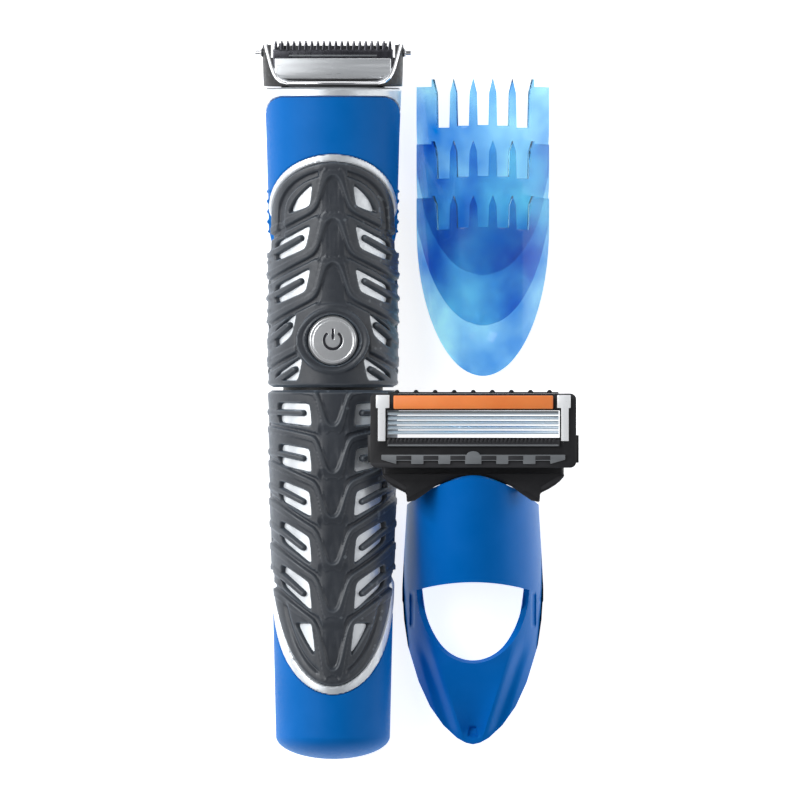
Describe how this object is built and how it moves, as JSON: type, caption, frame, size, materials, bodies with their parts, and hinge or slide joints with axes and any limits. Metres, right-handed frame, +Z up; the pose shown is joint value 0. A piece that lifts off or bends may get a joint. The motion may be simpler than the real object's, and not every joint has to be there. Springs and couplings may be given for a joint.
{
  "type": "body groomer kit with nested guide combs and razor cartridge adapter",
  "caption": "Battery body groomer with a detachable trimmer head, nested translucent guide combs and a clip-on razor adapter holding a pivoting cartridge",
  "frame": {"origin": "centre of the kit's footprint on the table: middle of its width and length, at the table surface", "axes": "+Y from the rounded end of the handle to its blade tips, +Z up from the table through the button, +X towards the razor adapter"},
  "size_m": [0.0646, 0.1436, 0.0297],
  "materials": {
    "satin_silver": "satin silver paint on moulded plastic",
    "blue_body": "semi-matte pearl blue",
    "grip_rubber": "matte moulded grip",
    "chrome_trim": "bright plated",
    "black_plastic": "fine textured",
    "satin_metal": "fine brushed",
    "cutter_steel": "ground cutter steel",
    "razor_steel": "polished edge",
    "contact_brass": "stamped strip",
    "cell_sleeve": "shrink sleeve",
    "board_green": "lacquered board",
    "comb_blue": "clear tinted moulding",
    "adapter_blue": "high gloss",
    "lube_orange": "waxy strip",
    "trim_grey": "satin grey"
  },
  "bodies": {
    "handle": {"upper_core": "satin_silver", "upper_blue_shell": "blue_body", "upper_grip": "grip_rubber", "inner_frame": "black_plastic", "neck_ring": "black_plastic", "neck_seal": "grip_rubber", "battery_cradle": "black_plastic", "battery_cell": "cell_sleeve", "positive_contact": "contact_brass", "negative_spring": "satin_metal", "contact_strip": "contact_brass", "circuit_board": "board_green", "tact_switch": "black_plastic", "motor_can": "satin_metal", "motor_end_cap": "black_plastic", "head_seat": "black_plastic"},
    "button": {"power_button": "satin_metal"},
    "motor_rotor": {"rotor_core": "cutter_steel", "rotor_shaft": "cutter_steel", "crank_hub": "trim_grey"},
    "battery_cover": {"lower_core": "satin_silver", "lower_blue_shell": "blue_body", "lower_grip": "grip_rubber", "end_cap": "blue_body"},
    "trimmer_head": {"head_frame": "chrome_trim", "head_base": "black_plastic", "front_plate": "satin_metal", "fixed_blade": "cutter_steel", "blade_spring": "satin_metal", "rear_guard": "black_plastic", "comb_pin_right": "chrome_trim", "comb_pin_left": "chrome_trim"},
    "cutter": {"moving_blade": "cutter_steel", "blade_carrier": "black_plastic"},
    "long_comb": {"comb_long": "comb_blue"},
    "medium_comb": {"comb_medium": "comb_blue"},
    "short_comb": {"comb_short": "comb_blue"},
    "adapter": {"adapter_hood": "adapter_blue", "adapter_dock": "black_plastic", "dock_latch": "satin_metal"},
    "yoke": {"cartridge_yoke": "black_plastic"},
    "cartridge": {"cartridge_frame": "black_plastic", "blade_1": "razor_steel", "blade_2": "razor_steel", "blade_3": "razor_steel", "blade_4": "razor_steel", "blade_5": "razor_steel", "lubricating_strip": "lube_orange", "blade_clip_right": "satin_metal", "blade_clip_left": "satin_metal", "fin_guard": "trim_grey", "lower_trim": "trim_grey", "trimmer_guard": "black_plastic"}
  },
  "joints": [
    {"name": "button_press", "type": "slide", "parent": "handle", "child": "button", "axis": [0, 0, -1], "range_m": [0, 0.0005], "stiffness_N_per_m": 300},
    {"name": "motor_spin", "type": "hinge", "parent": "handle", "child": "motor_rotor", "pos_m": [-0.0167, 0.04, 0.012], "axis": [0, 1, 0], "continuous": true},
    {"name": "cover_pull", "type": "slide", "parent": "handle", "child": "battery_cover", "axis": [0, -1, 0], "range_m": [0, 0.078]},
    {"name": "head_release", "type": "slide", "parent": "handle", "child": "trimmer_head", "axis": [0, 1, 0], "range_m": [0, 0.012]},
    {"name": "cutter_stroke", "type": "slide", "parent": "trimmer_head", "child": "cutter", "axis": [1, 0, 0], "range_m": [-0.0009, 0.0009]},
    {"name": "long_comb_lift", "type": "slide", "parent": "handle", "child": "long_comb", "axis": [0, 0, 1], "range_m": [0, 0.035]},
    {"name": "medium_comb_lift", "type": "slide", "parent": "long_comb", "child": "medium_comb", "axis": [0, 0, 1], "range_m": [0, 0.035]},
    {"name": "short_comb_lift", "type": "slide", "parent": "medium_comb", "child": "short_comb", "axis": [0, 0, 1], "range_m": [0, 0.035]},
    {"name": "adapter_lift", "type": "slide", "parent": "handle", "child": "adapter", "axis": [0, 0, 1], "range_m": [0, 0.035]},
    {"name": "cartridge_release", "type": "slide", "parent": "adapter", "child": "yoke", "axis": [0, 1, 0], "range_m": [0, 0.012]},
    {"name": "cartridge_pivot", "type": "hinge", "parent": "yoke", "child": "cartridge", "pos_m": [0.0113, -0.009, 0.026], "axis": [1, 0, 0], "range_deg": [0, 30], "stiffness_Nm_per_rad": 0.01}
  ]
}
